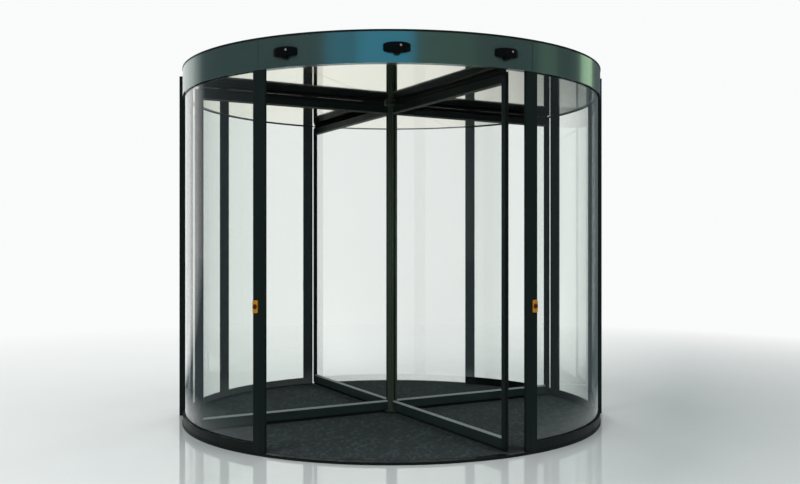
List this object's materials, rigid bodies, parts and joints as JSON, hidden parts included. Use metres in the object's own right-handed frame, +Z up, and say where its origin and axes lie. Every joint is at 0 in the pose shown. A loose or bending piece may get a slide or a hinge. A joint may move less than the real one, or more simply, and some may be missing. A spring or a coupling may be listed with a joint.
{
  "type": "revolving door",
  "caption": "Automatic revolving door: a rotor with glazed wings turns about a central shaft in a curved glass drum under a round canopy.",
  "frame": {"origin": "on the drum's axis at ground level", "axes": "+Z up along the rotor's axis, +X across the doorway to the right as seen from the lobby, -Y towards the lobby"},
  "size_m": [3.7206, 3.686, 2.97],
  "materials": {
    "wing_glass": "clear safety glass, greenish at the edges",
    "curved_glass": "clear curved safety glass, greenish at the edges",
    "wing_frame": "dark coated aluminium, satin",
    "post_metal": "dark coated aluminium, satin",
    "curb_metal": "dark coated aluminium, satin",
    "fascia_metal": "slate coated aluminium, semi-gloss",
    "tray_metal": "black coated steel",
    "mat": "charcoal ribbed entrance matting",
    "pivot_steel": "turned steel",
    "ceiling_panel": "pale polished panel",
    "roof_panel": "grey coated sheet",
    "hub_metal": "dark coated metal",
    "sensor_plastic": "black, glossy",
    "button_plate": "yellow-orange",
    "button_cap": "dark red",
    "shaft_metal": "dark coated aluminium, satin",
    "brush": "black bristles"
  },
  "bodies": {
    "drum": {"back_fascia": "fascia_metal", "back_left_curb": "curb_metal", "back_left_glass": "curved_glass", "back_left_mid_post": "post_metal", "back_left_post": "post_metal", "back_right_curb": "curb_metal", "back_right_glass": "curved_glass", "back_right_mid_post": "post_metal", "back_right_post": "post_metal", "button_caps": "button_cap", "button_plates": "button_plate", "canopy_ceiling": "ceiling_panel", "canopy_roof": "roof_panel", "canopy_sensors": "sensor_plastic", "ceiling_hub": "hub_metal", "entrance_mat": "mat", "floor_pivot": "pivot_steel", "floor_tray": "tray_metal", "front_fascia": "fascia_metal", "front_left_curb": "curb_metal", "front_left_glass": "curved_glass", "front_left_post": "post_metal", "front_right_curb": "curb_metal", "front_right_glass": "curved_glass", "front_right_post": "post_metal", "left_side_curb": "curb_metal", "left_side_glass": "curved_glass", "left_side_post": "post_metal", "right_side_curb": "curb_metal", "right_side_glass": "curved_glass", "right_side_post": "post_metal"},
    "rotor": {"back_left_wing_bottom_rail": "wing_frame", "back_left_wing_glass": "wing_glass", "back_left_wing_stile": "wing_frame", "back_left_wing_top_rail": "wing_frame", "back_right_wing_bottom_rail": "wing_frame", "back_right_wing_glass": "wing_glass", "back_right_wing_stile": "wing_frame", "back_right_wing_top_rail": "wing_frame", "brush_seals": "brush", "centre_shaft": "shaft_metal", "front_left_wing_bottom_rail": "wing_frame", "front_left_wing_glass": "wing_glass", "front_left_wing_stile": "wing_frame", "front_left_wing_top_rail": "wing_frame", "front_right_wing_bottom_rail": "wing_frame", "front_right_wing_glass": "wing_glass", "front_right_wing_stile": "wing_frame", "front_right_wing_top_rail": "wing_frame"}
  },
  "joints": [
    {"name": "rotor_spin", "type": "hinge", "parent": "drum", "child": "rotor", "pos_m": [0, 0, 0], "axis": [0, 0, 1], "continuous": true}
  ]
}
